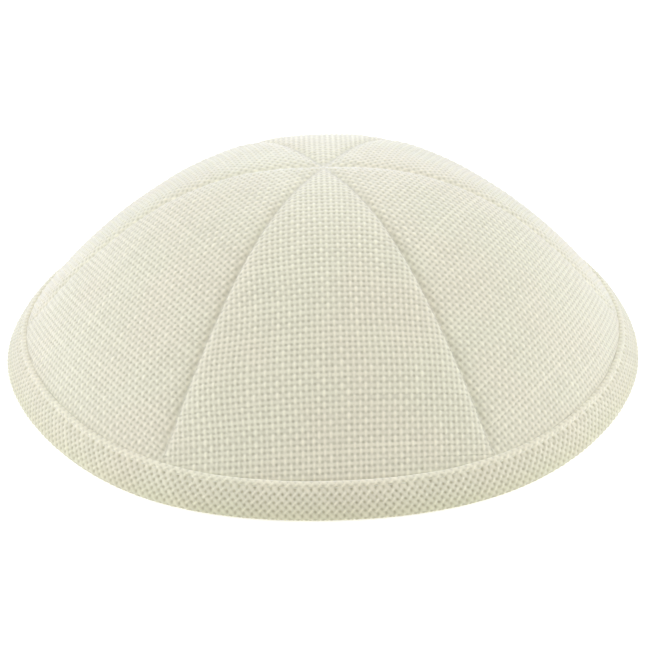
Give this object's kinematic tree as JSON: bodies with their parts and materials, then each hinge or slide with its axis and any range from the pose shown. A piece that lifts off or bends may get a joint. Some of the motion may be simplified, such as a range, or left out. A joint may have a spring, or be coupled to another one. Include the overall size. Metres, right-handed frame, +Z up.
{
  "type": "kippah skullcap",
  "caption": "Cream linen kippah: a low domed skullcap of sewn gores with a bias binding folded round its rim.",
  "frame": {"origin": "centre of the rim's bounding box, on the surface that the rim rests on", "axes": "+Z up out of the crown; -Y toward the middle of panel_front; +X toward the seam between panel_front_right and panel_back_right"},
  "size_m": [0.1896, 0.1874, 0.0599],
  "materials": {
    "panel_linen": "coarse plain weave, matte",
    "binding_linen": "coarse plain weave on the bias, matte"
  },
  "bodies": {
    "root": {"panel_front": "panel_linen", "panel_front_right": "panel_linen", "panel_back_right": "panel_linen", "panel_back": "panel_linen", "panel_back_left": "panel_linen", "panel_front_left": "panel_linen", "rim_binding": "binding_linen"}
  },
  "joints": []
}
